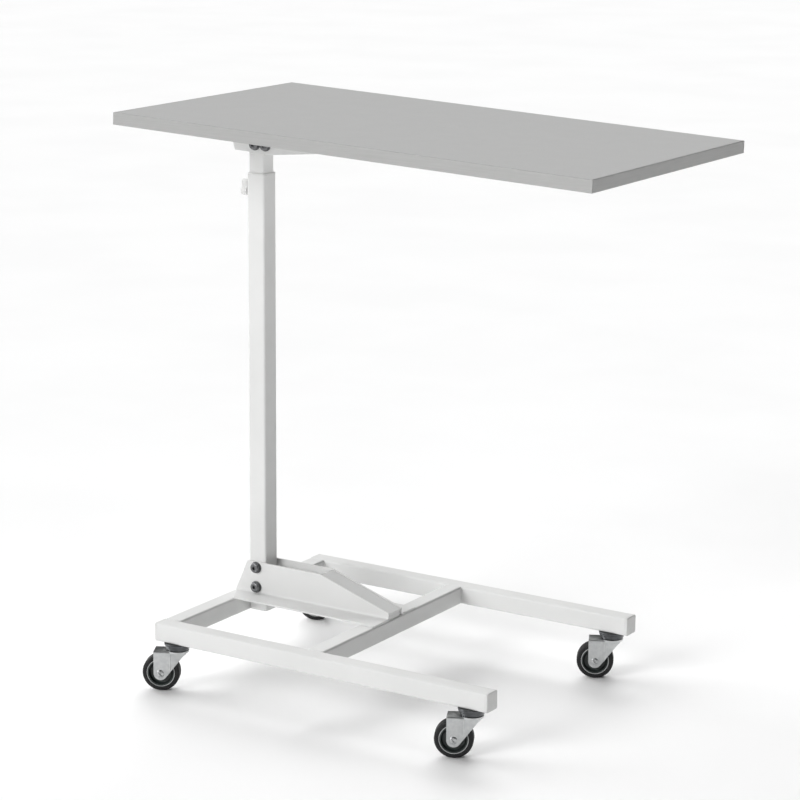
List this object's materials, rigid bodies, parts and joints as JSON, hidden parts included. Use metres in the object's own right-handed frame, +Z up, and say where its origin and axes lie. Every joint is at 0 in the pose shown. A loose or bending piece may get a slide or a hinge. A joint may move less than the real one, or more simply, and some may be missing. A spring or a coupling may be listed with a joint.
{
  "type": "overbed table",
  "caption": "Overbed table: a rectangular grey top cantilevered from a telescopic square column on a low tube base with swivel casters.",
  "frame": {"origin": "on the floor, under the middle of the top", "axes": "+Z up, +X from the column end to the free end of the top, -Y to the front"},
  "size_m": [0.7001, 0.4108, 0.768],
  "materials": {
    "white_powder_coat": "satin powder coat",
    "white_plastic": "fine moulded grain",
    "black_steel": "blackened",
    "zinc_steel": "bright zinc plate",
    "dark_race_steel": "dark polished pressing",
    "bearing_steel": "polished",
    "grey_laminate": "satin laminate on particle board",
    "grey_edge_band": "satin edging strip",
    "black_hub_plastic": "moulded",
    "black_rubber": "matte",
    "grey_ring_plastic": "moulded"
  },
  "bodies": {
    "base": {"front_rail": "white_powder_coat", "back_rail": "white_powder_coat", "column_cross_tube": "white_powder_coat", "middle_cross_tube": "white_powder_coat", "rail_end_caps": "white_plastic", "outer_column": "white_powder_coat", "column_foot_cap": "white_plastic", "column_collar": "white_plastic", "front_gusset": "white_powder_coat", "rear_gusset": "white_powder_coat", "gusset_cover": "white_powder_coat", "foot_bolts": "black_steel", "foot_washers": "black_steel", "foot_nuts": "black_steel", "clamp_boss": "white_powder_coat", "caster_inserts": "zinc_steel", "caster_races": "dark_race_steel", "caster_balls": "bearing_steel", "caster_kingpins": "zinc_steel"},
    "lift": {"inner_column": "white_powder_coat", "inner_column_guide": "white_plastic", "head_block": "white_powder_coat", "head_bolts": "black_steel", "head_washers": "black_steel", "head_nuts": "black_steel", "front_arm_cheek": "white_powder_coat", "rear_arm_cheek": "white_powder_coat", "top_screws": "zinc_steel", "top_board": "grey_laminate", "edge_band_front": "grey_edge_band", "edge_band_back": "grey_edge_band", "edge_band_column_end": "grey_edge_band", "edge_band_free_end": "grey_edge_band"},
    "clamp_carrier": {"clamp_pad": "white_plastic"},
    "clamp_screw": {"clamp_stud": "zinc_steel", "clamp_knob": "white_plastic"},
    "front_left_caster": {"front_left_fork": "zinc_steel", "front_left_axle_bolt": "zinc_steel", "front_left_axle_nut": "zinc_steel"},
    "front_left_wheel": {"front_left_wheel_hub": "black_hub_plastic", "front_left_tyre": "black_rubber", "front_left_wheel_rings": "grey_ring_plastic"},
    "front_right_caster": {"front_right_fork": "zinc_steel", "front_right_axle_bolt": "zinc_steel", "front_right_axle_nut": "zinc_steel"},
    "front_right_wheel": {"front_right_wheel_hub": "black_hub_plastic", "front_right_tyre": "black_rubber", "front_right_wheel_rings": "grey_ring_plastic"},
    "back_left_caster": {"back_left_fork": "zinc_steel", "back_left_axle_bolt": "zinc_steel", "back_left_axle_nut": "zinc_steel"},
    "back_left_wheel": {"back_left_wheel_hub": "black_hub_plastic", "back_left_tyre": "black_rubber", "back_left_wheel_rings": "grey_ring_plastic"},
    "back_right_caster": {"back_right_fork": "zinc_steel", "back_right_axle_bolt": "zinc_steel", "back_right_axle_nut": "zinc_steel"},
    "back_right_wheel": {"back_right_wheel_hub": "black_hub_plastic", "back_right_tyre": "black_rubber", "back_right_wheel_rings": "grey_ring_plastic"}
  },
  "joints": [
    {"name": "height_slide", "type": "slide", "parent": "base", "child": "lift", "axis": [0, 0, 1], "range_m": [-0.018, 0.332]},
    {"name": "clamp_advance", "type": "slide", "parent": "base", "child": "clamp_carrier", "axis": [1, 0, 0], "range_m": [-0.00126, 0]},
    {"name": "clamp_turn", "type": "hinge", "parent": "clamp_carrier", "child": "clamp_screw", "pos_m": [-0.274, 0, 0.65196], "axis": [1, 0, 0], "range_deg": [-360, 0]},
    {"name": "front_left_swivel", "type": "hinge", "parent": "base", "child": "front_left_caster", "pos_m": [-0.27, -0.1825, 0.056], "axis": [0, 0, 1], "continuous": true},
    {"name": "front_left_roll", "type": "hinge", "parent": "front_left_caster", "child": "front_left_wheel", "pos_m": [-0.2896, -0.19249, 0.025], "axis": [0.454, -0.891, 0], "continuous": true},
    {"name": "front_right_swivel", "type": "hinge", "parent": "base", "child": "front_right_caster", "pos_m": [0.187, -0.1825, 0.056], "axis": [0, 0, 1], "continuous": true},
    {"name": "front_right_roll", "type": "hinge", "parent": "front_right_caster", "child": "front_right_wheel", "pos_m": [0.1674, -0.19249, 0.025], "axis": [0.454, -0.891, 0], "continuous": true},
    {"name": "back_left_swivel", "type": "hinge", "parent": "base", "child": "back_left_caster", "pos_m": [-0.27, 0.1825, 0.056], "axis": [0, 0, 1], "continuous": true},
    {"name": "back_left_roll", "type": "hinge", "parent": "back_left_caster", "child": "back_left_wheel", "pos_m": [-0.2896, 0.17251, 0.025], "axis": [0.454, -0.891, 0], "continuous": true},
    {"name": "back_right_swivel", "type": "hinge", "parent": "base", "child": "back_right_caster", "pos_m": [0.187, 0.1825, 0.056], "axis": [0, 0, 1], "continuous": true},
    {"name": "back_right_roll", "type": "hinge", "parent": "back_right_caster", "child": "back_right_wheel", "pos_m": [0.1674, 0.17251, 0.025], "axis": [0.454, -0.891, 0], "continuous": true}
  ],
  "couplings": [
    {"joint": "clamp_advance", "follows": "clamp_turn", "m_per_rad": 0.00019894}
  ]
}
